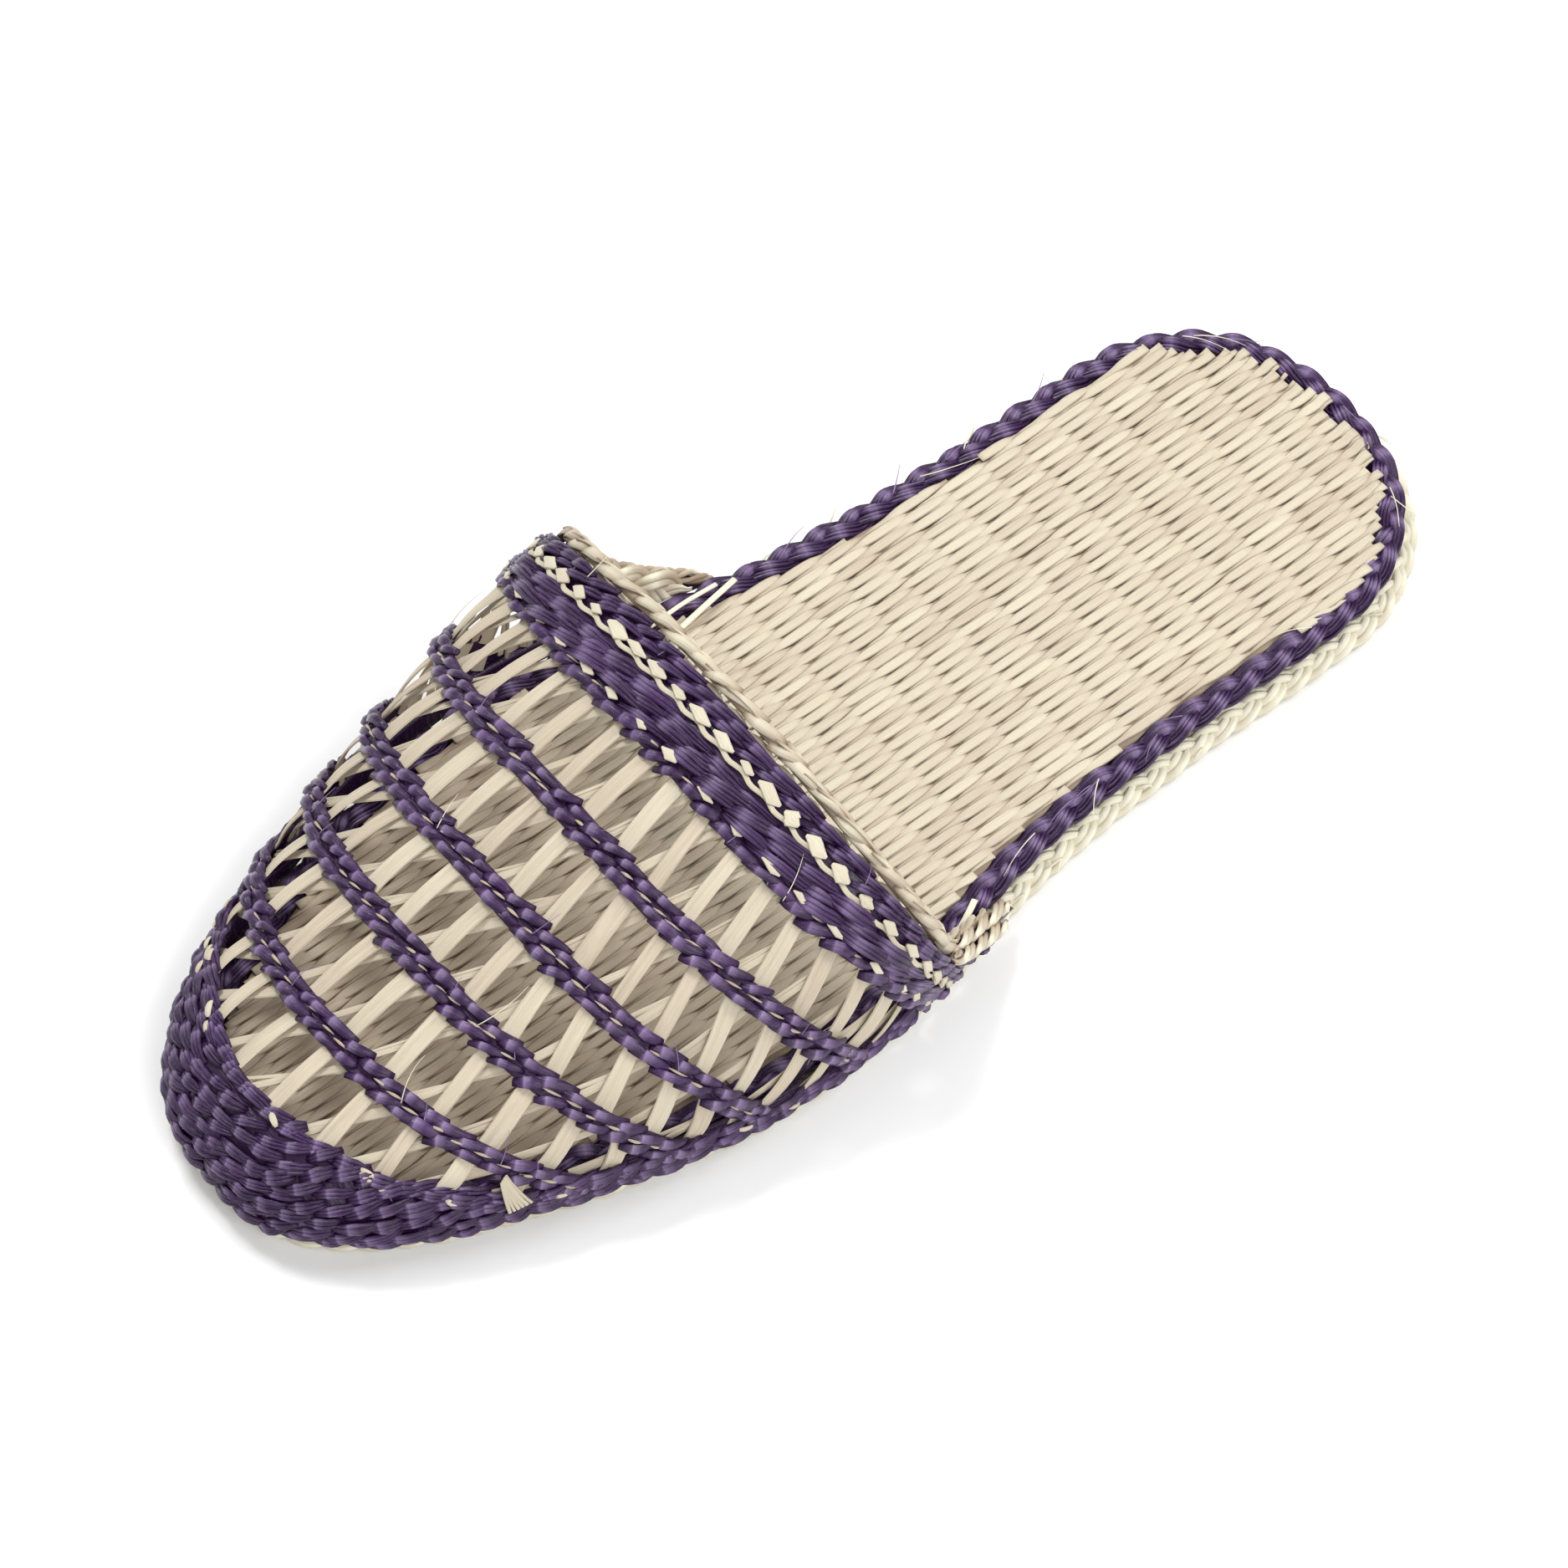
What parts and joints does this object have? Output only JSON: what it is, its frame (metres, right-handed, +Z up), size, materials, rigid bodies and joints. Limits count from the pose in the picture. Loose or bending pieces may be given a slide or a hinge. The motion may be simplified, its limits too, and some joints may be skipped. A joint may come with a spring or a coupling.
{
  "type": "straw slide sandal",
  "caption": "Left slide sandal woven from natural straw: open lattice upper with closed toe, purple twined toe cap, bands and cuff, flat braided sole.",
  "frame": {"origin": "on the floor under the middle of the shoe's box", "axes": "+Y from toe to heel, +Z up, +X to the outer side of the left foot"},
  "size_m": [0.1095, 0.2593, 0.0543],
  "materials": {
    "natural_straw": "satin",
    "purple_straw": "satin"
  },
  "bodies": {
    "root": {"outsole": "natural_straw", "outsole_edge_braid": "natural_straw", "insole": "natural_straw", "insole_binding": "purple_straw", "upper": "natural_straw", "toe_cap": "purple_straw", "band_1": "purple_straw", "band_2": "purple_straw", "band_3": "purple_straw", "band_4": "purple_straw", "collar_cuff": "purple_straw", "collar_edge_braid": "natural_straw"}
  },
  "joints": []
}
